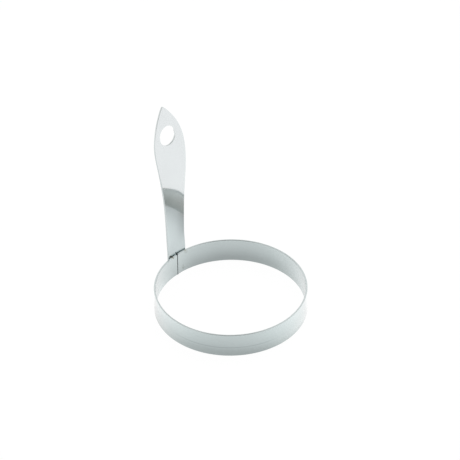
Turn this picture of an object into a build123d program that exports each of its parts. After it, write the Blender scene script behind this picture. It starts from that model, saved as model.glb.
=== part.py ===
from build123d import *
import math
import os

os.makedirs("parts", exist_ok=True)

# ---------------------------------------------------------------- dimensions, mm
INNER_D = 100.0        # inside of the ring, the size of the finished egg
WALL = 1.2             # strip thickness of the band
BAND_H = 17.3          # height of the band
EDGE_R = 0.4           # rolled, rounded edges of the strip
SEAM_GAP = 0.6         # butt gap between the two ends of the strip
SEAM_X = -0.6          # the gap sits a little to one side of the handle's middle line
CORNER_TOP = 1.0       # rounded upper corners of the strip's cut ends
CORNER_LOW = 0.4       # and their lower corners

PLATE_T = 1.2          # thickness of the handle plate
FOOT_GAP = 0.15        # air between band and foot, bridged by the welds
FOOT_Z = 0.8           # lower end of the foot, clear of the table
FOOT_CORNER = 2.0      # corner radius at the lower end of the foot
CURL_LOW = 18.2        # up to this height the foot follows the ring
CURL_HIGH = 34.3       # from this height the plate is flat

HOLE_R = 6.85          # round hanging hole
HOLE_Z = 112.7         # height of its centre on the front face
HOLE_X = -0.5          # it is punched a little to one side of the ring's middle line
HANDLE_X = -0.1        # and the whole plate sits a trace to the same side

WELD_R = 1.5           # spot weld nugget
WELD_BITE = 0.3        # how far a nugget sits in each of the two sheets
# nuggets, (distance from the middle line, height): an upper and a lower pair, set by hand
WELDS = [(-6.0, 15.2), (6.0, 15.2), (-4.6, 4.6), (4.9, 4.1)]

INNER_R = INNER_D / 2
OUTER_R = INNER_R + WALL
FOOT_R = OUTER_R + FOOT_GAP          # radius of the foot's face that looks at the band

# lean of the handle plate away from the vertical, (height, degrees)
LEAN = [(0.0, 0.0), (17.3, 0.0), (22.3, 0.7), (30.3, 0.8), (36.3, 0.52), (52.0, 0.73), (68.3, 0.84), (76.3, 1.9), (82.3, 3.1),
        (88.3, 5.0), (94.3, 7.8), (99.3, 9.6), (105.3, 9.9), (112.3, 10.1),
        (118.3, 11.4), (124.3, 13.0), (134.3, 14.0), (140.3, 14.0)]

# half width of the handle plate, (height, half width)
HALF_W = [(24.3, 7.85), (30.3, 7.87), (36.3, 7.97), (42.3, 8.14), (48.3, 8.35), (54.3, 8.64),
          (60.3, 9.03), (66.3, 9.54), (72.3, 10.19), (78.3, 10.94), (84.3, 11.69), (90.3, 12.37),
          (95.3, 12.85), (99.8, 13.12), (103.3, 13.17), (106.8, 12.97), (110.3, 12.45),
          (113.8, 11.63), (117.3, 10.52), (120.8, 9.05), (124.3, 7.15), (127.8, 4.87), (130.9, 2.65)]
TIP_Z = 133.3
TIP_R = 1.0


def lean_at(z):
    if z <= LEAN[0][0]:
        return LEAN[0][1]
    for (z0, a0), (z1, a1) in zip(LEAN, LEAN[1:]):
        if z <= z1:
            u = (z - z0) / (z1 - z0)
            return a0 + (a1 - a0) * u
    return LEAN[-1][1]


def front_y(z, step=0.25):
    """distance of the plate's inner face from the ring's axis, on the middle line"""
    y = FOOT_R
    if z <= 0:
        return y
    n = max(1, int(abs(z) / step))
    h = z / n
    for i in range(n):
        y += h * math.tan(math.radians(lean_at((i + 0.5) * h)))
    return y


def curl(z):
    """1 where the foot follows the ring, 0 where the plate is flat"""
    if z <= CURL_LOW:
        return 1.0
    if z >= CURL_HIGH:
        return 0.0
    u = (z - CURL_LOW) / (CURL_HIGH - CURL_LOW)
    return 1.0 - u * u * (3.0 - 2.0 * u)


# ---------------------------------------------------------------- ring band
with BuildPart() as band_bp:
    with BuildSketch(Plane.XZ) as section:
        with Locations((INNER_R + WALL / 2, BAND_H / 2)):
            RectangleRounded(WALL, BAND_H, EDGE_R)
    revolve(axis=Axis.Z, revolution_arc=360)
band = band_bp.part

# the slit between the two ends, with the ends' corners rounded off
g, ct, cl = SEAM_GAP / 2, CORNER_TOP, CORNER_LOW
kt, kl = ct * (1 - math.sqrt(0.5)), cl * (1 - math.sqrt(0.5))
with BuildSketch(Plane.XZ) as slit:
    with BuildLine():
        Polyline((-g, BAND_H - ct), (-g, cl))
        ThreePointArc((-g, cl), (-g - kl, kl), (-g - cl, 0))
        Polyline((-g - cl, 0), (-g - cl, -1), (g + cl, -1), (g + cl, 0))
        ThreePointArc((g + cl, 0), (g + kl, kl), (g, cl))
        Polyline((g, cl), (g, BAND_H - ct))
        ThreePointArc((g, BAND_H - ct), (g + kt, BAND_H - kt), (g + ct, BAND_H))
        Polyline((g + ct, BAND_H), (g + ct, BAND_H + 1), (-g - ct, BAND_H + 1), (-g - ct, BAND_H))
        ThreePointArc((-g - ct, BAND_H), (-g - kt, BAND_H - kt), (-g, BAND_H - ct))
    make_face()
cutter = extrude(slit.sketch, amount=20, dir=(0, 1, 0)).moved(Location((SEAM_X, INNER_R - 10, 0)))
band = band - cutter

# ---------------------------------------------------------------- handle plate
FLAT = 0.0008          # a trace of curl keeps all the loft's sections alike

# the sheet is lofted a little wider than the plate, then cut to its outline, (height, half width)
SHEET_HALF = [(-1, 8.1), (34.3, 8.3), (45.3, 8.6), (57.3, 9.3), (68.3, 10.3), (76.3, 11.2), (82.3, 12.0),
              (88.3, 12.8), (94.3, 13.4), (99.3, 13.7), (137, 13.7)]


def sheet_half(z):
    for (z0, w0), (z1, w1) in zip(SHEET_HALF, SHEET_HALF[1:]):
        if z <= z1:
            return w0 + (w1 - w0) * (z - z0) / (z1 - z0)
    return SHEET_HALF[-1][1]


def sheet_section(z):
    y = front_y(z)
    th = PLATE_T / math.cos(math.radians(lean_at(z)))
    w = sheet_half(z)
    sag = (FOOT_R - math.sqrt(FOOT_R ** 2 - w ** 2)) * max(curl(z), FLAT)
    f = ThreePointArc((-w, y - sag, z), (0, y, z), (w, y - sag, z))
    b = ThreePointArc((w, y + th - sag, z), (0, y + th, z), (-w, y + th - sag, z))
    return Wire([f, Line(f @ 1, b @ 0), b, Line(b @ 1, f @ 0)])


SECTIONS = [-1, 6, 12, CURL_LOW, 21.5, 25.4, 29.8, CURL_HIGH, 45.3, 57.3, 68.3, 76.3, 82.3, 88.3, 94.3, 99.3, 105.3, 112.3, 118.3, 124.3, 130.3, 136.5]
sheet = Solid.make_loft([sheet_section(z) for z in SECTIONS])

right = [(w, z) for z, w in HALF_W]
tip_c = TIP_Z - TIP_R
with BuildSketch(Plane.XZ) as outline:
    with BuildLine():
        up = Spline([(HALF_W[0][1], HALF_W[0][0])] + right[1:] + [(TIP_R * math.cos(math.radians(38)), tip_c + TIP_R * math.sin(math.radians(38)))],
                    tangents=[(0, 1), (-math.sin(math.radians(38)), math.cos(math.radians(38)))])
        a = ThreePointArc(up @ 1, (0, TIP_Z), (-(up @ 1).X, (up @ 1).Y))
        down = Spline([a @ 1] + [(-w, z) for w, z in reversed(right[1:])] + [(-HALF_W[0][1], HALF_W[0][0])],
                      tangents=[(-math.sin(math.radians(38)), -math.cos(math.radians(38))), (0, -1)])
        w0 = HALF_W[0][1]
        l1 = Line(down @ 1, (-w0, FOOT_Z + FOOT_CORNER))
        c1 = ThreePointArc(l1 @ 1, (-w0 + FOOT_CORNER * (1 - math.sqrt(0.5)), FOOT_Z + FOOT_CORNER * (1 - math.sqrt(0.5))), (-w0 + FOOT_CORNER, FOOT_Z))
        l2 = Line(c1 @ 1, (w0 - FOOT_CORNER, FOOT_Z))
        c2 = ThreePointArc(l2 @ 1, (w0 - FOOT_CORNER * (1 - math.sqrt(0.5)), FOOT_Z + FOOT_CORNER * (1 - math.sqrt(0.5))), (w0, FOOT_Z + FOOT_CORNER))
        l3 = Line(c2 @ 1, up @ 0)
    make_face()
blank = extrude(outline.sketch, amount=90, dir=(0, 1, 0))
plate = (sheet & blank).moved(Location((HANDLE_X, 0, 0)))
hole_lean = math.radians(lean_at(HOLE_Z))
hole_axis = Vector(0, math.cos(hole_lean), -math.sin(hole_lean))
hole_front = Vector(HOLE_X, front_y(HOLE_Z), HOLE_Z)
hole_mid = hole_front + hole_axis * (PLATE_T / 2)
punch = Plane(origin=tuple(hole_mid - hole_axis * 10), z_dir=tuple(hole_axis)) * Cylinder(HOLE_R, 20, align=(Align.CENTER, Align.CENTER, Align.MIN))
plate = plate - punch

# ---------------------------------------------------------------- spot welds
nuggets = []
r_in, r_out = OUTER_R - WELD_BITE, FOOT_R + WELD_BITE
for x, z in WELDS:
    ang = math.asin(x / FOOT_R)
    d = Vector(math.sin(ang), math.cos(ang), 0)
    pl = Plane(origin=tuple(d * r_in + Vector(0, 0, z)), z_dir=tuple(d))
    nuggets.append(pl * Cylinder(WELD_R, r_out - r_in, align=(Align.CENTER, Align.CENTER, Align.MIN)))
for n in nuggets:
    band = band - n
    plate = plate - n


def save(name, shapes):
    comp = shapes[0] if len(shapes) == 1 else Compound(children=list(shapes))
    export_step(comp, f"parts/{name}.step")
    box = comp.bounding_box()
    vol = sum(s.volume for s in shapes)
    print(name, "solids", len(comp.solids()), "valid", all(s.is_valid for s in comp.solids()),
          "volume", round(vol, 1), "box", [round(v, 2) for v in (box.min.X, box.min.Y, box.min.Z, box.max.X, box.max.Y, box.max.Z)])


band_solid = band.solids()[0]
plate_solid = plate.solids()[0] if len(plate.solids()) == 1 else plate
save("ring_band", [band_solid])
save("handle", [plate_solid])
save("spot_welds", [n.solids()[0] for n in nuggets])
print("hole middle", [round(v, 3) for v in hole_mid], "axis", [round(v, 5) for v in hole_axis], "tip y", round(front_y(TIP_Z), 2))
print("mass g", round((band_solid.volume + plate_solid.volume) * 7.9e-3, 1))
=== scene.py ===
import math
import bpy
from mathutils import Vector, Matrix
from mathutils.geometry import delaunay_2d_cdt


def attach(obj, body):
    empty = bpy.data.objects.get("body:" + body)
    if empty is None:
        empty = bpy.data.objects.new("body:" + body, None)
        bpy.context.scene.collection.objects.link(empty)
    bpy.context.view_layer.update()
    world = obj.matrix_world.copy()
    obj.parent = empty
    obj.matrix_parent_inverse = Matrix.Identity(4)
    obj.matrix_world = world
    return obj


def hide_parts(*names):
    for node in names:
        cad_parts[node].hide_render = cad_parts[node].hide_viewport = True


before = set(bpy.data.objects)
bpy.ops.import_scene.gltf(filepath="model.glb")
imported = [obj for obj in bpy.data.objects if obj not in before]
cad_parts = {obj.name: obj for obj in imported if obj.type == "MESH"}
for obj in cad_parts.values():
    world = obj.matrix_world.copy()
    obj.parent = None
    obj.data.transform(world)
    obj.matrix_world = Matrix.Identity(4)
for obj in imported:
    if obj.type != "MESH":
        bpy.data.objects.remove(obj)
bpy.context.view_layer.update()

MM = 0.001

# ------------------------------------------------------------------ dimensions in mm, as in the CAD model
INNER_R, WALL, BAND_H, EDGE_R = 50.0, 1.2, 17.3, 0.4
OUTER_R = INNER_R + WALL
SEAM_GAP, SEAM_X, CORNER_TOP, CORNER_LOW = 0.6, -0.6, 1.0, 0.4
PLATE_T, FOOT_GAP, FOOT_Z, FOOT_CORNER = 1.2, 0.15, 0.8, 2.0
FOOT_R = OUTER_R + FOOT_GAP
HANDLE_X = -0.1
HOLE_R, HOLE_X, HOLE_Z = 6.85, -0.5, 112.7
CURL_LOW, CURL_HIGH = 18.2, 34.3
WELD_R, WELD_BITE = 1.5, 0.3
WELDS = [(-6.0, 15.2), (6.0, 15.2), (-4.6, 4.6), (4.9, 4.1)]
TIP_Z, TIP_R = 133.3, 1.0
LEAN = [(0.0, 0.0), (17.3, 0.0), (22.3, 0.7), (30.3, 0.8), (36.3, 0.52), (52.0, 0.73), (68.3, 0.84), (76.3, 1.9), (82.3, 3.1),
        (88.3, 5.0), (94.3, 7.8), (99.3, 9.6), (105.3, 9.9), (112.3, 10.1),
        (118.3, 11.4), (124.3, 13.0), (134.3, 14.0), (140.3, 14.0)]
HALF_W = [(24.3, 7.85), (30.3, 7.87), (36.3, 7.97), (42.3, 8.14), (48.3, 8.35), (54.3, 8.64),
          (60.3, 9.03), (66.3, 9.54), (72.3, 10.19), (78.3, 10.94), (84.3, 11.69), (90.3, 12.37),
          (95.3, 12.85), (99.8, 13.12), (103.3, 13.17), (106.8, 12.97), (110.3, 12.45),
          (113.8, 11.63), (117.3, 10.52), (120.8, 9.05), (124.3, 7.15), (127.8, 4.87), (130.9, 2.65)]


def lean_at(z):
    if z <= LEAN[0][0]:
        return LEAN[0][1]
    for (z0, a0), (z1, a1) in zip(LEAN, LEAN[1:]):
        if z <= z1:
            return a0 + (a1 - a0) * (z - z0) / (z1 - z0)
    return LEAN[-1][1]


_STEP = 0.25
_table = [FOOT_R]
for _i in range(int(150 / _STEP)):
    _table.append(_table[-1] + _STEP * math.tan(math.radians(lean_at((_i + 0.5) * _STEP))))
# the table is smoothed, so that the bend has no kinks that a mirror would show
for _n in range(60):
    _table = [_table[0]] + [0.25 * a + 0.5 * b + 0.25 * c for a, b, c in zip(_table, _table[1:], _table[2:])] + [_table[-1]]


def front_y(z):
    if z <= 0:
        return FOOT_R
    u = z / _STEP
    i = min(int(u), len(_table) - 2)
    t = u - i
    return _table[i] * (1 - t) + _table[i + 1] * t


def curl(z):
    if z <= CURL_LOW:
        return 1.0
    if z >= CURL_HIGH:
        return 0.0
    u = (z - CURL_LOW) / (CURL_HIGH - CURL_LOW)
    return 1.0 - u * u * (3.0 - 2.0 * u)


def plate_y(x, z):
    return front_y(z) - (FOOT_R - math.sqrt(FOOT_R ** 2 - x * x)) * curl(z)


def plate_n(x, z):
    """unit normal of the plate that points away from the ring's axis"""
    h = 0.6
    dx = (plate_y(x + h, z) - plate_y(x - h, z)) / (2 * h)
    dz = (plate_y(x, z + h) - plate_y(x, z - h)) / (2 * h)
    return Vector((-dx, 1.0, -dz)).normalized()


def catmull(points, n):
    """dense points through a list of (z, w) knots"""
    out = []
    p = [points[0]] + list(points) + [points[-1]]
    for i in range(1, len(p) - 2):
        p0, p1, p2, p3 = p[i - 1], p[i], p[i + 1], p[i + 2]
        for k in range(n):
            t = k / n
            z = p1[0] + (p2[0] - p1[0]) * t
            h = p2[0] - p1[0]
            m1 = (p2[1] - p0[1]) / max(1e-9, p2[0] - p0[0])
            m2 = (p3[1] - p1[1]) / max(1e-9, p3[0] - p1[0])
            w = ((2 * t ** 3 - 3 * t ** 2 + 1) * p1[1] + (t ** 3 - 2 * t ** 2 + t) * h * m1
                 + (-2 * t ** 3 + 3 * t ** 2) * p2[1] + (t ** 3 - t ** 2) * h * m2)
            out.append((z, w))
    out.append(points[-1])
    return out


# ------------------------------------------------------------------ mesh helpers
def facing(verts, faces, normals):
    """every face is wound so that it looks the way its corners' normals do"""
    out = []
    for f in faces:
        n = Vector((0, 0, 0))
        for i in range(len(f)):
            a, b = Vector(verts[f[i]]), Vector(verts[f[(i + 1) % len(f)]])
            n += Vector(((a.y - b.y) * (a.z + b.z), (a.z - b.z) * (a.x + b.x), (a.x - b.x) * (a.y + b.y)))
        m = sum((Vector(normals[i]) for i in f), Vector((0, 0, 0)))
        out.append(tuple(reversed(f)) if n.dot(m) < 0 else tuple(f))
    return out


def make_object(name, verts, faces, normals, uvs, smooth=True, marks=None):
    if normals:
        faces = facing(verts, faces, normals)
    mesh = bpy.data.meshes.new(name)
    mesh.from_pydata([tuple(c * MM for c in v) for v in verts], [], faces)
    mesh.validate()
    mesh.update()
    layer = mesh.uv_layers.new(name="flow")
    for loop in mesh.loops:
        layer.data[loop.index].uv = uvs[loop.vertex_index]
    mesh.polygons.foreach_set("use_smooth", [smooth] * len(mesh.polygons))
    if normals:
        mesh.normals_split_custom_set_from_vertices([tuple(n) for n in normals])
    for key, values in (marks or {}).items():
        at = mesh.attributes.new(key, "FLOAT", "POINT")
        at.data.foreach_set("value", values)
    obj = bpy.data.objects.new(name, mesh)
    bpy.context.scene.collection.objects.link(obj)
    return obj


def smoothstep(a, b, x):
    t = max(0.0, min(1.0, (x - a) / (b - a)))
    return t * t * (3 - 2 * t)


def dimple(d, r, depth):
    """a shallow round dent"""
    if d >= r:
        return 0.0
    t = d / r
    return depth * (1 - t * t) ** 2


def weld_ang(x):
    return math.asin(x / FOOT_R)



# ------------------------------------------------------------------ the band
def band_profile():
    """closed profile in (radial offset from the wall's middle, z), with its normals"""
    hw, hh, r = WALL / 2, BAND_H / 2, EDGE_R
    pts = []
    corners = [(hw - r, hh - r, 0), (-(hw - r), hh - r, 90), (-(hw - r), -(hh - r), 180), (hw - r, -(hh - r), 270)]
    seg = 10
    for ci, (cx, cz, a0) in enumerate(corners):
        for k in range(seg + 1):
            a = math.radians(a0 + 90 * k / seg)
            pts.append((cx + r * math.cos(a), hh + cz + r * math.sin(a), math.cos(a), math.sin(a)))
        # straight runs up or down the two walls get rows of their own
        if ci == 1:
            for k in range(1, 40):
                z = hh + (hh - r) - k * (2 * (hh - r)) / 40
                pts.append((-hw, z, -1.0, 0.0))
        if ci == 3:
            for k in range(1, 40):
                z = hh - (hh - r) + k * (2 * (hh - r)) / 40
                pts.append((hw, z, 1.0, 0.0))
    return pts


def band_shift(ang):
    """slow departures of a hand-rolled ring from a true circle, mm"""
    d = ang - (math.pi / 2 + 0.6 / 51)
    d = (d + math.pi) % (2 * math.pi) - math.pi
    peak = -0.13 * math.exp(-(d / 0.07) ** 2)
    return peak + 0.03 * math.sin(2 * ang + 0.7) + 0.02 * math.sin(5 * ang + 1.9)


def end_shift(z):
    """how far the rounded corners draw the strip's cut end back at height z, and the slope of that"""
    if z > BAND_H - CORNER_TOP:
        c, q, sg = CORNER_TOP, z - (BAND_H - CORNER_TOP), 1.0
    elif z < CORNER_LOW:
        c, q, sg = CORNER_LOW, CORNER_LOW - z, -1.0
    else:
        return 0.0, 0.0
    q = min(q, 0.985 * c)
    w = math.sqrt(c * c - q * q)
    return c - w, sg * q / w


def build_band():
    prof = band_profile()
    n = len(prof)
    verts, normals, uvs, faces = [], [], [], []
    edge, outer = [], []
    mid = INNER_R + WALL / 2
    start = math.pi / 2 - (SEAM_X - SEAM_GAP / 2) / mid
    end = math.pi / 2 - (SEAM_X + SEAM_GAP / 2) / mid + 2 * math.pi
    steps = 900
    nose = [0.0, 0.02, 0.05, 0.10, 0.15, 0.35, 0.6, 0.9, 1.25, 1.6, 2.0]
    inner = [start + (end - start) * i / steps for i in range(steps + 1)]
    angs = [start + q / mid for q in nose] + [a for a in inner if start + 2.2 / mid < a < end - 2.2 / mid] + [end - q / mid for q in reversed(nose)]
    m = len(angs)
    reach = 6.0
    for i, a0 in enumerate(angs):
        side = -1 if (a0 - start) < (end - a0) else 1
        e = min(a0 - start, end - a0) * mid
        # rounding of the cut ends
        inset = 0.0
        tilt = 0.0
        if e < 0.15:
            inset = 0.15 - math.sqrt(max(0.0, 0.15 ** 2 - (0.15 - e) ** 2))
            tilt = (0.15 - e) / 0.15
        for (dr, z, nr, nz) in prof:
            back, slope = end_shift(z)
            a = a0 - side * back * max(0.0, 1 - e / reach) ** 2 / mid
            ca, sa = math.cos(a), math.sin(a)
            sh = band_shift(a)
            ds = (band_shift(a + 0.002) - band_shift(a - 0.002)) / 0.004 / mid
            r = mid + sh + dr - inset * nr
            zz = z - inset * nz
            # spot weld dents on the inner wall
            if nr < -0.99:
                for wx, wz, wr, wd in DENTS:
                    wa = math.pi / 2 - wx / INNER_R
                    da = (a - wa + math.pi) % (2 * math.pi) - math.pi
                    r += dimple(math.hypot(da * INNER_R, z - wz), wr, wd)
            verts.append((r * ca, r * sa, zz))
            out = Vector((-sa, ca, 0)) * side
            cut = (out + Vector((0, 0, slope))).normalized()
            nv = Vector((nr * ca, nr * sa, nz)) * math.sqrt(max(0.0, 1 - tilt * tilt)) + cut * tilt
            nv -= Vector((-sa, ca, 0)) * ds * nr
            normals.append(nv.normalized())
            uvs.append((a * mid * MM, z * MM + (0.05 if nr > 0.5 else 0.0)))
            edge.append(max(smoothstep(0.25, 0.8, abs(nz)), tilt))
            outer.append(smoothstep(-0.3, 0.3, nr))
    for i in range(m - 1):
        for k in range(n):
            k2 = (k + 1) % n
            faces.append((i * n + k, i * n + k2, (i + 1) * n + k2, (i + 1) * n + k))
    # the two cut faces, as strips of quads from the inner to the outer side
    left = sorted([k for k in range(n) if prof[k][0] < 0], key=lambda k: (-prof[k][1], prof[k][0]))
    place = {(round(prof[k][0], 6), round(prof[k][1], 6)): k for k in range(n)}
    pairs = []
    for k in left:
        q = place.get((round(-prof[k][0], 6), round(prof[k][1], 6)))
        if q is not None and (not pairs or (k, q) != pairs[-1]):
            pairs.append((k, q))
    pairs.sort(key=lambda kq: (-prof[kq[0]][1], -abs(prof[kq[0]][0]) if prof[kq[0]][1] < BAND_H / 2 else abs(prof[kq[0]][0])))
    for i in (0, m - 1):
        side = -1 if i == 0 else 1
        base = {}
        for k, q in pairs:
            for w in (k, q):
                if w in base:
                    continue
                v = verts[i * n + w]
                aa = math.atan2(v[1], v[0])
                _, slope = end_shift(prof[w][1])
                nv = (Vector((-math.sin(aa), math.cos(aa), 0)) * side + Vector((0, 0, slope))).normalized()
                base[w] = len(verts)
                verts.append(v); normals.append(nv); uvs.append(uvs[i * n + w]); edge.append(1.0); outer.append(0.5)
        for (k0, q0), (k1, q1) in zip(pairs, pairs[1:]):
            faces.append((base[k0], base[q0], base[q1], base[k1]))
    return verts, faces, normals, uvs, edge, outer


# dents of the electrodes on the inner wall: distance from the middle line, height, radius, depth
DENTS = [(-6.0, 15.4, 1.5, 0.07), (6.0, 15.6, 1.4, 0.06), (-4.6, 4.6, 1.5, 0.02), (4.9, 4.1, 1.5, 0.04)]
bv, bf, bn, bu, be, bo = build_band()
band = make_object("band_strip", bv, bf, bn, bu, marks={"edge": be, "outer": bo})


# ------------------------------------------------------------------ the handle plate
def outline_points():
    """right half of the plate's outline, from the foot's middle up to the tip, as (x, z)"""
    pts = []
    w0 = HALF_W[0][1]
    # bottom edge and its corner
    for k in range(0, 14):
        pts.append(((w0 - FOOT_CORNER) * k / 14, FOOT_Z))
    for k in range(0, 9):
        a = math.radians(-90 + 90 * k / 8)
        pts.append((w0 - FOOT_CORNER + FOOT_CORNER * math.cos(a), FOOT_Z + FOOT_CORNER + FOOT_CORNER * math.sin(a)))
    z = FOOT_Z + FOOT_CORNER
    while z < HALF_W[0][0] - 0.9:
        z += 0.6
        pts.append((w0, z))
    end_a = math.radians(38)
    knots = list(HALF_W) + [(TIP_Z - TIP_R + TIP_R * math.sin(end_a), TIP_R * math.cos(end_a))]
    dense = catmull(knots, 7)
    pts += [(w, z) for z, w in dense]
    for k in range(1, 7):
        a = end_a + (math.pi / 2 - end_a) * k / 6
        pts.append((TIP_R * math.cos(a), TIP_Z - TIP_R + TIP_R * math.sin(a)))
    return pts


def loop_normals(loop):
    out = []
    n = len(loop)
    for i in range(n):
        a, b = loop[i - 1], loop[(i + 1) % n]
        t = Vector((b[0] - a[0], b[1] - a[1])).normalized()
        out.append(Vector((t.y, -t.x)))
    return out


def inset_loop(loop, norms, d):
    return [(p[0] - n.x * d, p[1] - n.y * d) for p, n in zip(loop, norms)]


def build_plate():
    half = outline_points()
    # counter-clockwise seen with x to the right and z up
    outer = half + [(-x, z) for x, z in reversed(half[1:-1])]
    on = loop_normals(outer)
    lean = math.radians(lean_at(HOLE_Z))
    hole = []
    NH = 120
    for k in range(NH):
        a = -2 * math.pi * k / NH
        hole.append((HOLE_X - HANDLE_X + HOLE_R * math.cos(a), HOLE_Z + HOLE_R * math.sin(a) * math.cos(lean)))
    hn = loop_normals(hole)
    r = 0.22
    seg = 5
    verts, normals, uvs, faces = [], [], [], []
    edge = []

    def put(x, z, depth, inplane, amount, face_sign):
        """one vertex: depth below the inner face, its normal tilted outward in the plane by amount"""
        nrm = plate_n(x, z)
        y = plate_y(x, z)
        p = Vector((x, y, z)) + nrm * depth
        verts.append((p.x + HANDLE_X, p.y, p.z))
        ip = Vector((inplane[0], 0, inplane[1])) if inplane else Vector((0, 0, 0))
        if inplane:
            ip = (ip - nrm * ip.dot(nrm)).normalized()
        nv = nrm * face_sign * math.sqrt(max(0.0, 1 - amount * amount)) + ip * amount
        normals.append(nv.normalized())
        uvs.append((x * MM, z * MM + (0.2 if face_sign > 0 else 0.0)))
        edge.append(smoothstep(0.25, 0.8, amount))
        return len(verts) - 1

    loops = {}
    for name, loop, norms in (("o", outer, on), ("h", hole, hn)):
        rings = []
        # from the inner face, over the edge, to the outer face
        steps = [(r * (1 - math.sin(math.radians(90 * k / seg))), r * (1 - math.cos(math.radians(90 * k / seg))), math.sin(math.radians(90 * k / seg)), -1) for k in range(seg + 1)]
        steps += [(r * (1 - math.sin(math.radians(90 * k / seg))), PLATE_T - r * (1 - math.cos(math.radians(90 * k / seg))), math.sin(math.radians(90 * k / seg)), 1) for k in range(seg, -1, -1)]
        for d, depth, amount, sign in steps:
            ring = []
            for p, nn in zip(inset_loop(loop, norms, d), norms):
                ring.append(put(p[0], p[1], depth, (nn.x, nn.y), amount, sign))
            rings.append(ring)
        loops[name] = rings
        n = len(loop)
        for a, b in zip(rings, rings[1:]):
            for i in range(n):
                j = (i + 1) % n
                faces.append((a[i], a[j], b[j], b[i]))
    # the two flat faces, triangulated between the loops with a grid of inner points
    oi = inset_loop(outer, on, r)
    hi = inset_loop(hole, hn, r)
    step = 1.0
    inner = []
    zrow = 2.0
    hw = catmull(HALF_W, 7)

    def width(z):
        if z <= HALF_W[0][0]:
            return HALF_W[0][1]
        for (z0, w0), (z1, w1) in zip(hw, hw[1:]):
            if z <= z1:
                return w0 + (w1 - w0) * (z - z0) / max(1e-9, z1 - z0)
        return 0.0
    while zrow < TIP_Z - 2.6:
        w = width(zrow) - 0.8
        fine = 0.5 if zrow < 18 else 1.0
        nx = max(1, int(2 * w / fine))
        for k in range(nx + 1):
            x = -w + 2 * w * k / nx
            if math.hypot(x - HOLE_X + HANDLE_X, (zrow - HOLE_Z) / math.cos(lean)) > HOLE_R + 1.0:
                inner.append((x, zrow))
        zrow += fine
    pts = [Vector(p) for p in oi] + [Vector(p) for p in hi] + [Vector(p) for p in inner]
    no, nh = len(oi), len(hi)
    edges = [(i, (i + 1) % no) for i in range(no)] + [(no + i, no + (i + 1) % nh) for i in range(nh)]
    out_v, out_e, out_f, ov, oe, of_ = delaunay_2d_cdt(pts, edges, [], 1, 1e-6)
    hz = math.cos(lean)
    for sign, depth, ring_i in ((-1, 0.0, 0), (1, PLATE_T, -1)):
        index = {}
        for vi, v in enumerate(out_v):
            src = ov[vi]
            known = [s for s in src if s < no + nh]
            if known:
                s = known[0]
                index[vi] = loops["o"][ring_i][s] if s < no else loops["h"][ring_i][s - no]
            else:
                nrm = plate_n(v.x, v.y)
                d = 0.0
                gx = gz = 0.0
                if sign > 0:
                    for wx, wz in WELDS:
                        dd = math.hypot(v.x - wx + HANDLE_X, v.y - wz)
                        d += dimple(dd, 2.1, 0.10)
                        if 1e-6 < dd < 2.1:
                            t = dd / 2.1
                            slope = -0.10 * 4 * t * (1 - t * t) / 2.1
                            gx += slope * (v.x - wx + HANDLE_X) / dd
                            gz += slope * (v.y - wz) / dd
                idx = put(v.x, v.y, depth - d, None, 0.0, sign)
                if sign > 0 and (gx or gz):
                    normals[idx] = (Vector(normals[idx]) + Vector((gx, 0, gz))).normalized()
                index[vi] = idx
        for f in out_f:
            cx = sum(out_v[i].x for i in f) / len(f)
            cz = sum(out_v[i].y for i in f) / len(f)
            if math.hypot(cx - HOLE_X + HANDLE_X, (cz - HOLE_Z) / hz) < HOLE_R - 0.05:
                continue
            tri = tuple(index[i] for i in f)
            faces.append(tri if sign < 0 else tuple(reversed(tri)))
    return verts, faces, normals, uvs, edge


pv, pf, pn, pu, pe = build_plate()
plate = make_object("handle_plate", pv, pf, pn, pu, marks={"edge": pe})


# ------------------------------------------------------------------ weld nuggets
def build_welds():
    verts, faces, normals, uvs = [], [], [], []
    r_in, r_out = OUTER_R - WELD_BITE, FOOT_R + WELD_BITE
    seg, rows = 32, 10
    for wx, wz in WELDS:
        d = Vector((math.sin(weld_ang(wx)), math.cos(weld_ang(wx)), 0))
        t = Vector((d.y, -d.x, 0))
        base = len(verts)
        for j in range(rows + 1):
            u = j / rows
            # a squeezed bead: slightly waisted between the two sheets
            rad = WELD_R - 0.18 * math.sin(math.pi * u) ** 2
            p = d * (r_in + (r_out - r_in) * u) + Vector((0, 0, wz))
            for k in range(seg):
                a = 2 * math.pi * k / seg
                o = t * math.cos(a) + Vector((0, 0, 1)) * math.sin(a)
                q = p + o * (rad + 0.03 * math.sin(3 * a + 5 * u))
                verts.append(tuple(q)); normals.append(o); uvs.append((a * rad * MM, u * MM))
        for j in range(rows):
            for k in range(seg):
                k2 = (k + 1) % seg
                faces.append((base + j * seg + k, base + (j + 1) * seg + k, base + (j + 1) * seg + k2, base + j * seg + k2))
        for j, sgn in ((0, -1), (rows, 1)):
            ring = list(range(base + j * seg, base + (j + 1) * seg))
            faces.append(tuple(ring) if sgn > 0 else tuple(reversed(ring)))
    return verts, faces, normals, uvs


wv, wf, wn, wu = build_welds()
welds = make_object("weld_nuggets", wv, wf, None, wu)


# ------------------------------------------------------------------ materials
def new_mat(name):
    mat = bpy.data.materials.new(name)
    mat.use_nodes = True
    nt = mat.node_tree
    for n in list(nt.nodes):
        nt.nodes.remove(n)
    out = nt.nodes.new("ShaderNodeOutputMaterial")
    bsdf = nt.nodes.new("ShaderNodeBsdfPrincipled")
    nt.links.new(bsdf.outputs["BSDF"], out.inputs["Surface"])
    return mat, nt, bsdf


def node(nt, kind, **kw):
    n = nt.nodes.new(kind)
    for k, v in kw.items():
        if k == "inputs":
            for i, val in v.items():
                n.inputs[i].default_value = val
        else:
            setattr(n, k, v)
    return n


def math_node(nt, op, a, b=None, clamp=False):
    n = nt.nodes.new("ShaderNodeMath")
    n.operation = op
    n.use_clamp = clamp
    for i, v in enumerate((a, b)):
        if v is None:
            continue
        if hasattr(v, "is_output"):
            nt.links.new(v, n.inputs[i])
        else:
            n.inputs[i].default_value = v
    return n.outputs[0]


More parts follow.
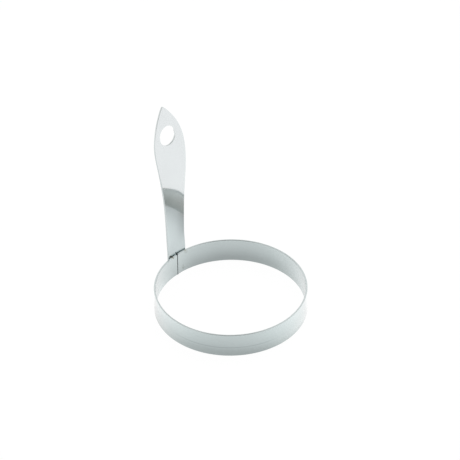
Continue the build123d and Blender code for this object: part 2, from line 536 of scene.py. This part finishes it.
def ramp_node(nt, stops):
    """colour ramp from stops of (position, level, red against green, blue against green)"""
    n = node(nt, "ShaderNodeValToRGB")
    cr = n.color_ramp
    for i, stop in enumerate(stops):
        pos, val, red = stop[:3]
        blue = stop[3] if len(stop) > 3 else 1.0
        e = cr.elements[0] if i == 0 else cr.elements[-1] if i == len(stops) - 1 else cr.elements.new(pos)
        e.position = pos
        e.color = (min(1.0, val * red), min(1.0, val), min(1.0, val * blue), 1.0)
    return n


def attr(nt, key):
    return node(nt, "ShaderNodeAttribute", attribute_type="GEOMETRY", attribute_name=key).outputs["Fac"]


def blend_rgb(nt, fac, a, b, mode="MIX"):
    n = node(nt, "ShaderNodeMix", data_type="RGBA", blend_type=mode)
    for i, v in ((0, fac), (6, a), (7, b)):
        if hasattr(v, "is_output"):
            nt.links.new(v, n.inputs[i])
        else:
            n.inputs[i].default_value = v
    return n.outputs[2]


def steel(name, rough, spots, streak_axis, shine_ramp, outside, fine_line, edge_level, painted_reflection_ramp):
    """polished rolled steel: fine rolling lines, soft smudges, small scratches and heat tint at the welds, with painted
    reflection, light and shade on top where the arguments ask for it
    """
    mat, nt, bsdf = new_mat(name)
    L = nt.links.new
    uv = node(nt, "ShaderNodeUVMap", uv_map="flow")
    tc = node(nt, "ShaderNodeTexCoord")
    edge = attr(nt, "edge")
    # rolling lines, long one way and short the other
    mp = node(nt, "ShaderNodeMapping")
    mp.inputs["Scale"].default_value = (12.0, 2600.0, 1.0) if streak_axis == "u" else (2600.0, 12.0, 1.0)
    L(uv.outputs["UV"], mp.inputs["Vector"])
    lines = node(nt, "ShaderNodeTexNoise", inputs={"Scale": 1.0, "Detail": 4.0, "Roughness": 0.6})
    L(mp.outputs["Vector"], lines.inputs["Vector"])
    # broad, soft variation
    broad = node(nt, "ShaderNodeTexNoise", inputs={"Scale": 55.0, "Detail": 3.0, "Roughness": 0.55})
    L(tc.outputs["Object"], broad.inputs["Vector"])
    # hair scratches
    mp2 = node(nt, "ShaderNodeMapping")
    mp2.inputs["Scale"].default_value = (90.0, 1500.0, 1.0) if streak_axis == "u" else (1500.0, 90.0, 1.0)
    mp2.inputs["Rotation"].default_value = (0, 0, 0.35)
    L(uv.outputs["UV"], mp2.inputs["Vector"])
    hair = node(nt, "ShaderNodeTexNoise", inputs={"Scale": 1.0, "Detail": 2.0, "Roughness": 0.5})
    L(mp2.outputs["Vector"], hair.inputs["Vector"])
    hair_r = node(nt, "ShaderNodeMapRange", inputs={"From Min": 0.66, "From Max": 0.78, "To Min": 0.0, "To Max": 1.0})
    L(hair.outputs["Fac"], hair_r.inputs["Value"])
    # colour: the polish reflects more towards grazing angles
    weight = node(nt, "ShaderNodeLayerWeight", inputs={"Blend": 0.5})
    shine = ramp_node(nt, shine_ramp)
    L(weight.outputs["Facing"], shine.inputs["Fac"])
    col = shine.outputs["Color"]
    if outside:
        # painted shade: the outer side of the strip is darker than the inner one at the same facing, standing in for
        # the dimmer surroundings it mirrors
        outer_painted_shade = ramp_node(nt, REFLECT_OUT_PAINTED_SHADE)
        L(weight.outputs["Facing"], outer_painted_shade.inputs["Fac"])
        col = blend_rgb(nt, attr(nt, "outer"), col, outer_painted_shade.outputs["Color"])
    if painted_reflection_ramp:
        # painted reflection and shade: the sheet's colour changes with height, with a painted band of the ring it
        # mirrors, and is brighter and more neutral towards the top of the handle
        hsep = node(nt, "ShaderNodeSeparateXYZ")
        L(tc.outputs["Object"], hsep.inputs[0])
        # the painted grade runs askew and slightly bowed
        bow = math_node(nt, "MULTIPLY", math_node(nt, "MULTIPLY", hsep.outputs["X"], hsep.outputs["X"]), 16.0)
        askew = math_node(nt, "ADD", math_node(nt, "ADD", hsep.outputs["Z"], math_node(nt, "MULTIPLY", hsep.outputs["X"], 0.95)), bow)
        hfac = node(nt, "ShaderNodeMapRange", inputs={"From Min": 0.0, "From Max": 0.140, "To Min": 0.0, "To Max": 1.0})
        L(askew, hfac.inputs["Value"])
        painted_reflection = ramp_node(nt, painted_reflection_ramp)
        L(hfac.outputs[0], painted_reflection.inputs["Fac"])
        # painted shade: on the side at positive x the grade is a darker copy, for the shade that side mirrors
        painted_shade_side = ramp_node(nt, PLATE_SIDE_PAINTED_SHADE)
        L(hfac.outputs[0], painted_shade_side.inputs["Fac"])
        side = node(nt, "ShaderNodeMapRange", interpolation_type="SMOOTHSTEP", inputs={"From Min": -0.001, "From Max": 0.008, "To Min": 0.0, "To Max": 1.0})
        L(hsep.outputs["X"], side.inputs["Value"])
        front_painted_reflection = blend_rgb(nt, side.outputs[0], painted_reflection.outputs["Color"], painted_shade_side.outputs["Color"])
        # the painted reflection and shade show only at a slanting look from the front; the back is even
        nsep = node(nt, "ShaderNodeSeparateXYZ")
        L(tc.outputs["Normal"], nsep.inputs[0])
        is_front = node(nt, "ShaderNodeMapRange", inputs={"From Min": 0.2, "From Max": -0.2, "To Min": 0.0, "To Max": 1.0})
        L(nsep.outputs["Y"], is_front.inputs["Value"])
        shows = None
        for start, full in ((0.375, 0.40), (0.54, 0.50)):
            slant = node(nt, "ShaderNodeMapRange", interpolation_type="SMOOTHSTEP", inputs={"From Min": start, "From Max": full, "To Min": 0.0, "To Max": 1.0})
            L(weight.outputs["Facing"], slant.inputs["Value"])
            shows = slant.outputs[0] if shows is None else math_node(nt, "MULTIPLY", shows, slant.outputs[0])
        # near the curled foot it shows from everywhere
        low = node(nt, "ShaderNodeMapRange", interpolation_type="SMOOTHSTEP", inputs={"From Min": 0.048, "From Max": 0.038, "To Min": 0.0, "To Max": 1.0})
        L(hsep.outputs["Z"], low.inputs["Value"])
        shows = math_node(nt, "MULTIPLY", is_front.outputs[0], math_node(nt, "MAXIMUM", shows, low.outputs[0]))
        col = blend_rgb(nt, 1.0, col, blend_rgb(nt, shows, (0.925, 0.962, 0.972, 1.0), front_painted_reflection), "MULTIPLY")
        slit = ramp_node(nt, SLIT_GRADE)
        L(hfac.outputs[0], slit.inputs["Fac"])
        edge_col = slit.outputs["Color"]
    else:
        edge_col = (edge_level * 0.93, edge_level, edge_level, 1.0)
    # slit edges are duller and don't change with the angle
    col = blend_rgb(nt, edge, col, edge_col)
    tone = math_node(nt, "ADD", math_node(nt, "MULTIPLY", lines.outputs["Fac"], 0.45), math_node(nt, "MULTIPLY", broad.outputs["Fac"], 0.55), clamp=True)
    tone_r = node(nt, "ShaderNodeMapRange", inputs={"From Min": 0.25, "From Max": 0.75, "To Min": 0.972, "To Max": 1.022})
    L(tone, tone_r.inputs["Value"])
    col = blend_rgb(nt, 1.0, col, tone_r.outputs[0], "MULTIPLY")
    rg = math_node(nt, "ADD", rough, math_node(nt, "MULTIPLY", math_node(nt, "SUBTRACT", broad.outputs["Fac"], 0.5), 0.05))
    rg = math_node(nt, "ADD", rg, math_node(nt, "MULTIPLY", lines.outputs["Fac"], 0.03))
    rg = math_node(nt, "ADD", rg, math_node(nt, "MULTIPLY", hair_r.outputs[0], 0.08))
    # heat tint, grey marks and painted shade at the foot of the butt gap, as soft round spots
    warp = node(nt, "ShaderNodeTexNoise", inputs={"Scale": 900.0, "Detail": 2.0, "Roughness": 0.6})
    L(tc.outputs["Object"], warp.inputs["Vector"])
    for tones, places in spots:
        total = None
        for (px, py, pz, rad, power) in places:
            vm = node(nt, "ShaderNodeVectorMath", operation="DISTANCE")
            vm.inputs[1].default_value = (px * MM, py * MM, pz * MM)
            L(tc.outputs["Object"], vm.inputs[0])
            wob = math_node(nt, "ADD", vm.outputs["Value"], math_node(nt, "MULTIPLY", math_node(nt, "SUBTRACT", warp.outputs["Fac"], 0.5), 0.0012))
            mr = node(nt, "ShaderNodeMapRange", interpolation_type="SMOOTHSTEP", inputs={"From Min": rad * MM, "From Max": rad * 0.15 * MM, "To Min": 0.0, "To Max": power})
            L(wob, mr.inputs["Value"])
            total = mr.outputs[0] if total is None else math_node(nt, "MAXIMUM", total, mr.outputs[0])
        tint_and_painted_shade = node(nt, "ShaderNodeValToRGB")
        cr = tint_and_painted_shade.color_ramp
        cr.elements[0].position = 0.0
        cr.elements[0].color = (1, 1, 1, 1)
        cr.elements[1].position = 1.0
        cr.elements[1].color = tones[-1] + (1,)
        for i, t in enumerate(tones[:-1]):
            e = cr.elements.new((i + 1) / len(tones))
            e.color = t + (1,)
        L(total, tint_and_painted_shade.inputs["Fac"])
        col = blend_rgb(nt, 1.0, col, tint_and_painted_shade.outputs["Color"], "MULTIPLY")
        rg = math_node(nt, "ADD", rg, math_node(nt, "MULTIPLY", total, 0.22))
    if fine_line:
        # a fine darker line that runs along the outer side at a constant height, fading out at both ends
        sep = node(nt, "ShaderNodeSeparateXYZ")
        L(tc.outputs["Object"], sep.inputs[0])
        z0, w0, lo, hi = fine_line
        dz = math_node(nt, "ABSOLUTE", math_node(nt, "SUBTRACT", sep.outputs["Z"], z0 * MM))
        band_m = node(nt, "ShaderNodeMapRange", interpolation_type="SMOOTHSTEP", inputs={"From Min": w0 * MM, "From Max": 0.0, "To Min": 0.0, "To Max": 1.0})
        L(dz, band_m.inputs["Value"])
        mid_a, half_a = (lo + hi) / 2, (hi - lo) / 2
        # turned so that the mark's middle lies at angle zero, far from the jump at half a turn
        turn = node(nt, "ShaderNodeVectorRotate", rotation_type="Z_AXIS", inputs={"Angle": -mid_a})
        L(tc.outputs["Object"], turn.inputs["Vector"])
        sep2 = node(nt, "ShaderNodeSeparateXYZ")
        L(turn.outputs[0], sep2.inputs[0])
        signed = math_node(nt, "ARCTAN2", sep2.outputs["Y"], sep2.outputs["X"])
        da = math_node(nt, "ABSOLUTE", signed)
        fade = node(nt, "ShaderNodeMapRange", interpolation_type="SMOOTHSTEP", inputs={"From Min": half_a, "From Max": half_a * 0.55, "To Min": 0.0, "To Max": 1.0})
        L(da, fade.inputs["Value"])
        mark = math_node(nt, "MULTIPLY", math_node(nt, "MULTIPLY", band_m.outputs[0], fade.outputs[0]), attr(nt, "outer"))
        col = blend_rgb(nt, mark, col, blend_rgb(nt, 1.0, col, (0.80, 0.815, 0.82, 1.0), "MULTIPLY"))
        rg = math_node(nt, "ADD", rg, math_node(nt, "MULTIPLY", mark, 0.06))
        # painted light: the lower part of the flanks is made brighter than the front, lifting the shade they mirror
        # near the floor
        low_z = node(nt, "ShaderNodeMapRange", interpolation_type="SMOOTHSTEP", inputs={"From Min": 0.011, "From Max": 0.003, "To Min": 0.0, "To Max": 1.0})
        L(sep.outputs["Z"], low_z.inputs["Value"])
        flank = node(nt, "ShaderNodeMapRange", interpolation_type="SMOOTHSTEP", inputs={"From Min": 0.45, "From Max": 0.95, "To Min": 0.0, "To Max": 1.0})
        L(da, flank.inputs["Value"])
        painted_light_low_flank = math_node(nt, "MULTIPLY", math_node(nt, "MULTIPLY", low_z.outputs[0], flank.outputs[0]), attr(nt, "outer"))
        col = blend_rgb(nt, painted_light_low_flank, col, blend_rgb(nt, 1.0, col, (1.09, 1.085, 1.08, 1.0), "MULTIPLY"))
        # painted shade: and the upper part is darker outside on one flank and inside on the other, where the light
        # falls less
        high_z = node(nt, "ShaderNodeMapRange", interpolation_type="SMOOTHSTEP", inputs={"From Min": 0.003, "From Max": 0.008, "To Min": 0.0, "To Max": 1.0})
        L(sep.outputs["Z"], high_z.inputs["Value"])
        inside = math_node(nt, "SUBTRACT", 1.0, attr(nt, "outer"))
        for face, start, full, shade_tone in ((attr(nt, "outer"), 0.95, 1.50, 0.925), (inside, -2.32, -1.92, 0.925)):
            turned = node(nt, "ShaderNodeMapRange", interpolation_type="SMOOTHSTEP", inputs={"From Min": start, "From Max": full, "To Min": 0.0, "To Max": 1.0})
            L(signed, turned.inputs["Value"])
            fades = node(nt, "ShaderNodeMapRange", interpolation_type="SMOOTHSTEP", inputs={"From Min": full + 1.1, "From Max": full + 0.7, "To Min": 0.0, "To Max": 1.0})
            L(signed, fades.inputs["Value"])
            painted_shade_high_flank = math_node(nt, "MULTIPLY", math_node(nt, "MULTIPLY", turned.outputs[0], fades.outputs[0]), math_node(nt, "MULTIPLY", high_z.outputs[0], face))
            col = blend_rgb(nt, painted_shade_high_flank, col, blend_rgb(nt, 1.0, col, (shade_tone, shade_tone, shade_tone, 1.0), "MULTIPLY"))
    L(col, bsdf.inputs["Base Color"])
    rg = math_node(nt, "ADD", rg, math_node(nt, "MULTIPLY", edge, EDGE_ROUGH))
    L(rg, bsdf.inputs["Roughness"])
    bsdf.inputs["Metallic"].default_value = 1.0
    # very shallow relief
    hsum = math_node(nt, "ADD", math_node(nt, "MULTIPLY", lines.outputs["Fac"], 0.6), math_node(nt, "MULTIPLY", hair_r.outputs[0], -0.5))
    bump = node(nt, "ShaderNodeBump", inputs={"Strength": 0.10, "Distance": 0.00001})
    L(hsum, bump.inputs["Height"])
    wave = node(nt, "ShaderNodeTexNoise", inputs={"Scale": 38.0, "Detail": 1.0, "Roughness": 0.4})
    L(tc.outputs["Object"], wave.inputs["Vector"])
    bump2 = node(nt, "ShaderNodeBump", inputs={"Strength": 0.25, "Distance": 0.00025})
    L(wave.outputs["Fac"], bump2.inputs["Height"])
    L(bump.outputs["Normal"], bump2.inputs["Normal"])
    L(bump2.outputs["Normal"], bsdf.inputs["Normal"])
    return mat


# polish of the strip's inner side, its outer side (darkened as painted shade) and the handle's sheet: (facing, level,
# red against green)
REFLECT = [(0.0, 0.45, 0.90), (0.225, 0.478, 0.90), (0.33, 0.545, 0.90), (0.406, 0.612, 0.905), (0.502, 0.695, 0.91),
           (0.612, 0.80, 0.92), (0.735, 0.905, 0.935), (0.865, 0.925, 0.945), (1.0, 0.94, 0.955)]
REFLECT_OUT_PAINTED_SHADE = [(0.0, 0.44, 0.895), (0.225, 0.468, 0.895), (0.33, 0.535, 0.895), (0.406, 0.588, 0.90), (0.502, 0.635, 0.91),
               (0.612, 0.685, 0.925), (0.735, 0.70, 0.945), (0.865, 0.67, 0.97), (1.0, 0.67, 0.98)]
REFLECT_PLATE = [(0.0, 0.639, 1.0), (0.35, 0.649, 1.0), (0.45, 0.659, 1.0), (0.53, 0.695, 1.0), (0.71, 0.80, 1.0), (1.0, 0.88, 1.0)]
# (height, level, red against green, blue against green); the first two tables are painted reflection and shade on the
# handle's sheet
PLATE_PAINTED_REFLECTION = [(0.0, 0.91, 0.905, 1.01), (0.31, 0.925, 0.905, 1.012), (0.381, 0.968, 0.905, 1.01), (0.403, 0.945, 0.985, 0.972), (0.433, 0.93, 1.0, 0.972),
               (0.446, 0.965, 1.0, 0.975), (0.470, 1.0, 1.0, 0.985), (0.486, 1.0, 0.99, 0.99), (0.506, 0.965, 0.96, 1.008), (1.0, 0.965, 0.963, 1.01)]
PLATE_SIDE_PAINTED_SHADE = [(0.0, 0.87, 0.905, 1.01), (0.10, 0.87, 0.905, 1.01), (0.30, 0.83, 0.905, 1.012), (0.348, 0.83, 0.905, 1.01), (0.375, 0.77, 0.925, 1.0),
              (0.403, 0.87, 0.99, 0.972), (0.447, 0.85, 1.02, 0.975), (0.486, 0.94, 1.0, 0.985), (0.506, 0.965, 0.96, 1.008), (1.0, 0.965, 0.963, 1.01)]
SLIT_GRADE = [(0.0, 0.50, 0.93), (0.68, 0.50, 0.93), (0.80, 0.62, 0.95), (1.0, 0.64, 0.95)]
EDGE_ROUGH = 0.12
BROWN = [(0.90, 0.875, 0.82), (0.52, 0.46, 0.39), (0.21, 0.185, 0.16)]
GREY = [(0.90, 0.90, 0.885), (0.72, 0.71, 0.69)]


def on_wall(s_, z_, r_, p_, out_=0.0):
    a_ = s_ / INNER_R
    return ((INNER_R + out_) * math.sin(a_), (INNER_R + out_) * math.cos(a_), z_, r_, p_)


inner_spots = [
    (BROWN, [on_wall(-5.2, 17.3, 1.35, 1.0, 0.6), on_wall(-4.5, 16.5, 1.0, 0.8), on_wall(6.3, 16.9, 1.0, 0.5)]),
    # painted shade in the lower end of the butt gap, dark spots where the gap's foot lies in shade
    ([(0.80, 0.81, 0.81), (0.42, 0.42, 0.41), (0.10, 0.10, 0.10)], [on_wall(-0.6, 0.7, 1.0, 1.0, 0.65), on_wall(-0.6, 1.8, 0.9, 0.9, 0.65)]),
    (GREY, [on_wall(7.2, 15.2, 1.6, 0.75), on_wall(6.0, 15.6, 1.3, 0.45), on_wall(4.4, 3.2, 1.5, 0.95), on_wall(4.5, 5.2, 1.2, 0.55), on_wall(-4.4, 4.7, 1.2, 0.2)]),
]
outer_spots = [(BROWN, [(wx, plate_y(wx - HANDLE_X, wz) + PLATE_T, wz, 2.6, 0.62 if wz > 8 else 0.42) for wx, wz in WELDS])]

FRONT = math.radians(-90 - 44.9)
mat_band = steel("band_steel", 0.10, inner_spots, "u", REFLECT, True, (7.0, 0.45, FRONT - 0.95, FRONT + 0.75), 0.70, None)
mat_plate = steel("plate_steel", 0.055, outer_spots, "v", REFLECT_PLATE, False, None, 0.50, PLATE_PAINTED_REFLECTION)


def weld_steel():
    mat, nt, bsdf = new_mat("weld_steel")
    L = nt.links.new
    tc = node(nt, "ShaderNodeTexCoord")
    n1 = node(nt, "ShaderNodeTexNoise", inputs={"Scale": 1400.0, "Detail": 4.0, "Roughness": 0.65})
    L(tc.outputs["Object"], n1.inputs["Vector"])
    ramp = node(nt, "ShaderNodeValToRGB")
    cr = ramp.color_ramp
    cr.elements[0].position = 0.3; cr.elements[0].color = (0.10, 0.075, 0.06, 1)
    cr.elements[1].position = 0.75; cr.elements[1].color = (0.36, 0.31, 0.25, 1)
    L(n1.outputs["Fac"], ramp.inputs["Fac"])
    L(ramp.outputs["Color"], bsdf.inputs["Base Color"])
    bsdf.inputs["Metallic"].default_value = 1.0
    rg = math_node(nt, "ADD", 0.3, math_node(nt, "MULTIPLY", n1.outputs["Fac"], 0.3))
    L(rg, bsdf.inputs["Roughness"])
    bump = node(nt, "ShaderNodeBump", inputs={"Strength": 0.6, "Distance": 0.0001})
    L(n1.outputs["Fac"], bump.inputs["Height"])
    L(bump.outputs["Normal"], bsdf.inputs["Normal"])
    return mat


mat_weld = weld_steel()
band.data.materials.append(mat_band)
plate.data.materials.append(mat_plate)
welds.data.materials.append(mat_weld)

for piece, name, slot in ((band, "ring_band", "band_steel"), (plate, "handle", "plate_steel"), (welds, "spot_welds", "weld_steel")):
    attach(piece, "root")
    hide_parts(name)

# ------------------------------------------------------------------ stage: floor, light, camera
def paper(name, albedo, glow):
    """translucent white sheet over a light table: part of its light comes up from below"""
    mat, nt, bsdf = new_mat(name)
    tc = node(nt, "ShaderNodeTexCoord")
    grain = node(nt, "ShaderNodeTexNoise", inputs={"Scale": 3.0, "Detail": 3.0, "Roughness": 0.5})
    nt.links.new(tc.outputs["Object"], grain.inputs["Vector"])
    level = node(nt, "ShaderNodeMapRange", inputs={"From Min": 0.0, "From Max": 1.0, "To Min": 0.993, "To Max": 1.007})
    nt.links.new(grain.outputs["Fac"], level.inputs["Value"])
    # deep shade on the sheet inside the strip's butt gap, softer shade under the foot behind it
    where = node(nt, "ShaderNodeSeparateXYZ")
    nt.links.new(tc.outputs["Object"], where.inputs[0])
    shade = None
    for power, spans in ((0.97, (("X", SEAM_X, 1.20, 0.60), ("Y", INNER_R + WALL / 2 + 0.05, 0.72, 0.58))),
                         (0.60, (("X", HANDLE_X, 7.6, 3.5), ("Y", FOOT_R + PLATE_T / 2 - 0.25, 0.90, 0.20)))):
        patch = power
        for axis, mid, far, near in spans:
            off = math_node(nt, "ABSOLUTE", math_node(nt, "SUBTRACT", where.outputs[axis], mid * MM))
            part = node(nt, "ShaderNodeMapRange", inputs={"From Min": far * MM, "From Max": near * MM, "To Min": 0.0, "To Max": 1.0})
            nt.links.new(off, part.inputs["Value"])
            patch = math_node(nt, "MULTIPLY", part.outputs[0], patch)
        shade = patch if shade is None else math_node(nt, "MAXIMUM", shade, patch)
    lit = math_node(nt, "MULTIPLY", level.outputs[0], math_node(nt, "SUBTRACT", 1.0, shade))
    nt.links.new(blend_rgb(nt, 1.0, (albedo, albedo, albedo, 1.0), lit, "MULTIPLY"), bsdf.inputs["Base Color"])
    bsdf.inputs["Roughness"].default_value = 0.9
    bsdf.inputs["Specular IOR Level"].default_value = 0.0
    bsdf.inputs["Emission Color"].default_value = (1.0, 1.0, 1.0, 1.0)
    nt.links.new(math_node(nt, "MULTIPLY", lit, glow), bsdf.inputs["Emission Strength"])
    return mat


def sheet_of_paper(name, half, mat):
    mesh = bpy.data.meshes.new(name)
    mesh.from_pydata([(-half, -half, 0), (half, -half, 0), (half, half, 0), (-half, half, 0)], [], [(0, 1, 2, 3)])
    obj = bpy.data.objects.new(name, mesh)
    bpy.context.scene.collection.objects.link(obj)
    mesh.materials.append(mat)
    return obj


# the floor as it is looked at is just white; what the steel mirrors and what lights it has its own sheet
floor = sheet_of_paper("floor", 30.0, paper("floor_paper", 0.004, 0.99))
floor.visible_glossy = False
floor.visible_diffuse = False
floor.visible_shadow = False
bounce = sheet_of_paper("bounce_sheet", 29.9, paper("bounce_paper", 0.112, 0.58))
bounce.visible_camera = False
bounce.visible_shadow = False

scene = bpy.context.scene
world = bpy.data.worlds.new("studio")
scene.world = world
world.use_nodes = True
wnt = world.node_tree
for n in list(wnt.nodes):
    wnt.nodes.remove(n)
wout = wnt.nodes.new("ShaderNodeOutputWorld")
wbg = wnt.nodes.new("ShaderNodeBackground")
wtc = wnt.nodes.new("ShaderNodeTexCoord")
wsep = wnt.nodes.new("ShaderNodeSeparateXYZ")
wramp = wnt.nodes.new("ShaderNodeValToRGB")
# the studio is bright behind the object and to both sides, dark over it and on the photographer's side
wturn = wnt.nodes.new("ShaderNodeVectorRotate")
wturn.rotation_type = "Z_AXIS"
wturn.inputs["Angle"].default_value = math.radians(44.9)
wnt.links.new(wtc.outputs["Generated"], wturn.inputs["Vector"])
wnt.links.new(wturn.outputs[0], wsep.inputs[0])
wabs = wnt.nodes.new("ShaderNodeMath")
wabs.operation = "ABSOLUTE"
wnt.links.new(wsep.outputs["X"], wabs.inputs[0])
wside = wnt.nodes.new("ShaderNodeMath")
wside.operation = "MULTIPLY"
wside.inputs[1].default_value = 1.2
wnt.links.new(wabs.outputs[0], wside.inputs[0])
wmax = wnt.nodes.new("ShaderNodeMath")
wmax.operation = "MAXIMUM"
wnt.links.new(wsep.outputs["Y"], wmax.inputs[0])
wnt.links.new(wside.outputs[0], wmax.inputs[1])
wnt.links.new(wmax.outputs[0], wramp.inputs["Fac"])
cr = wramp.color_ramp
SKY = [(0.0, 0.42), (0.50, 0.42), (0.70, 1.0), (1.0, 1.05)]
for i, (pos, val) in enumerate(SKY):
    e = cr.elements[0] if i == 0 else cr.elements[-1] if i == len(SKY) - 1 else cr.elements.new(pos)
    e.position = pos
    e.color = (val, val, val, 1)
wnt.links.new(wramp.outputs["Color"], wbg.inputs["Color"])
wbg.inputs["Strength"].default_value = 1.0
wnt.links.new(wbg.outputs[0], wout.inputs[0])

AZ = math.radians(-44.9)
EL = 0.684300563
R_M = OUTER_R * MM


def spin(v):
    """from the fitted camera's frame to the object's frame"""
    return Matrix.Rotation(AZ, 3, "Z") @ Vector(v)


def softbox(name, towards, energy, angle):
    data = bpy.data.lights.new(name, "SUN")
    data.angle = math.radians(angle)
    data.energy = energy
    obj = bpy.data.objects.new(name, data)
    scene.collection.objects.link(obj)
    obj.visible_glossy = False
    obj.rotation_mode = "QUATERNION"
    obj.rotation_quaternion = spin(towards).normalized().to_track_quat("Z", "Y")


# a long box over the object, from behind it to in front of it, as the photographer sees it
softbox("softbox_back", (0.17, 0.80, 1.0), 14.9, 54)
softbox("softbox_front", (0.05, -0.60, 1.0), 2.5, 56)
# and a weak one to either side, which fills the shadows at the ring's flanks
softbox("softbox_left", (-1.0, 0.15, 0.75), 3.5, 60)
softbox("softbox_right", (1.0, 0.15, 0.75), 3.5, 60)

cam_data = bpy.data.cameras.new("camera")
cam = bpy.data.objects.new("camera", cam_data)
scene.collection.objects.link(cam)
DIST, FOC, TX, TZ, ROLL = 40.0, 3062.8535666503067, -0.0009521489668868227, 1.2640900000000000, -0.010634530996487267
C = Vector((0, -math.cos(EL), math.sin(EL))) * DIST
T = Vector((TX, 0, TZ))
fw = (T - C).normalized()
rt = fw.cross(Vector((0, 0, 1))).normalized()
up = rt.cross(fw)
r2 = rt * math.cos(ROLL) + up * math.sin(ROLL)
u2 = -rt * math.sin(ROLL) + up * math.cos(ROLL)
C, fw, r2, u2 = spin(C) * R_M, spin(fw), spin(r2), spin(u2)
M = Matrix(((r2.x, u2.x, -fw.x, C.x), (r2.y, u2.y, -fw.y, C.y), (r2.z, u2.z, -fw.z, C.z), (0, 0, 0, 1)))
cam.matrix_world = M
cam_data.sensor_fit = "HORIZONTAL"
cam_data.sensor_width = 36.0
cam_data.lens = FOC / 460.0 * 36.0
cam_data.clip_start = 0.05
cam_data.clip_end = 200.0
scene.camera = cam

scene.view_settings.view_transform = "Standard"
scene.view_settings.look = "None"
scene.view_settings.exposure = 0.0
scene.view_settings.gamma = 1.0

bpy.context.view_layer.update()
